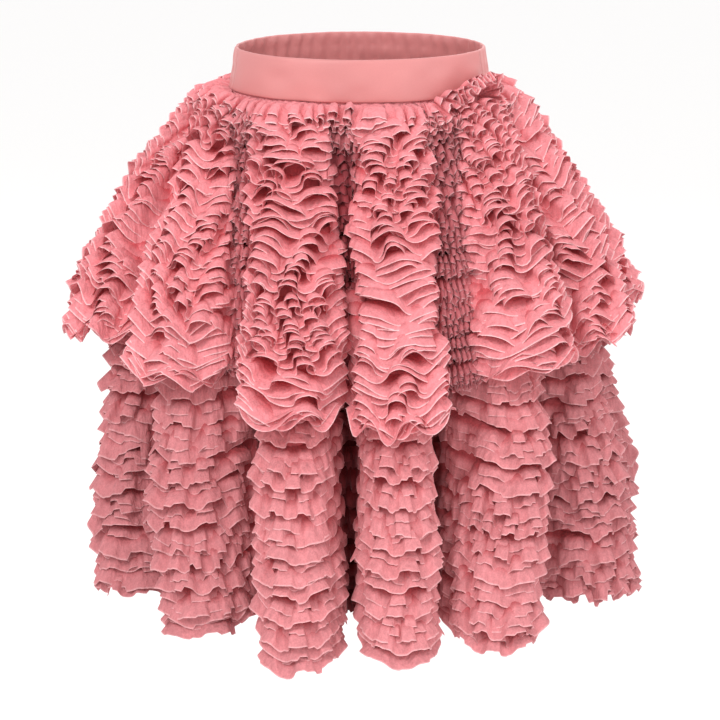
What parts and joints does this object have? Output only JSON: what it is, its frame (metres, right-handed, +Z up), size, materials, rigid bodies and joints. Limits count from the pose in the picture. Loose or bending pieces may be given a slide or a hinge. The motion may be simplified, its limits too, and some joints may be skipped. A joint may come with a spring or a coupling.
{
  "type": "tulle skirt",
  "caption": "Knee-length tulle skirt worn at the waist: a smooth waistband, a flared ruffled overskirt and a longer ruffled underskirt hanging in deep round flutes.",
  "frame": {"origin": "middle of the waist opening, halfway up the waistband, where the wearer's waist holds the skirt up", "axes": "+Z up out of the waist, -Y towards the front of the skirt, +X towards the wearer's left side"},
  "size_m": [0.5853, 0.4999, 0.5569],
  "materials": {
    "crepe": "satin-faced crepe, salmon pink, smooth with a soft sheen",
    "tulle": "dusty pink tulle, matt and sheer, paler at its cut edges"
  },
  "bodies": {
    "root": {"waistband_front": "crepe", "waistband_back": "crepe", "overskirt_front": "tulle", "overskirt_back": "tulle", "overskirt_ruffle_1": "tulle", "overskirt_ruffle_2": "tulle", "overskirt_ruffle_3": "tulle", "overskirt_ruffle_4": "tulle", "overskirt_ruffle_5": "tulle", "overskirt_ruffle_6": "tulle", "overskirt_ruffle_7": "tulle", "overskirt_ruffle_8": "tulle", "overskirt_ruffle_9": "tulle", "underskirt_front": "tulle", "underskirt_back": "tulle", "underskirt_ruffle_1": "tulle", "underskirt_ruffle_2": "tulle", "underskirt_ruffle_3": "tulle", "underskirt_ruffle_4": "tulle", "underskirt_ruffle_5": "tulle", "underskirt_ruffle_6": "tulle", "underskirt_ruffle_7": "tulle"}
  },
  "joints": []
}
